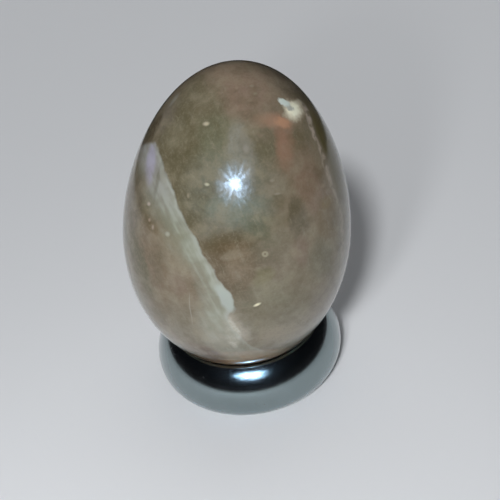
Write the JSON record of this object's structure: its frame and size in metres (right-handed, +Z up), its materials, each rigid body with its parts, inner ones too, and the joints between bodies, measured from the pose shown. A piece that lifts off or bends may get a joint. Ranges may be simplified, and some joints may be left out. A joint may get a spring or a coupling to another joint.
{
  "type": "decorative egg on stand",
  "caption": "Polished stone egg resting by its blunt end, slightly leaning, in the bevelled seat of a thick polished ring stand.",
  "frame": {"origin": "centre of the ring stand's resting face, on the ring's axis", "axes": "+Z up along the ring's axis, +X towards the side that the egg leans to, +Y away from the viewer of the picture"},
  "size_m": [0.034, 0.0338, 0.0514],
  "materials": {
    "stone": "polished",
    "hematite": "polished"
  },
  "bodies": {
    "ring_stand": {"ring_stand": "hematite"},
    "egg": {"egg": "stone"}
  },
  "joints": [
    {"name": "egg_lift", "type": "slide", "parent": "ring_stand", "child": "egg", "axis": [0, 0, 1], "range_m": [0, 0.03]}
  ]
}
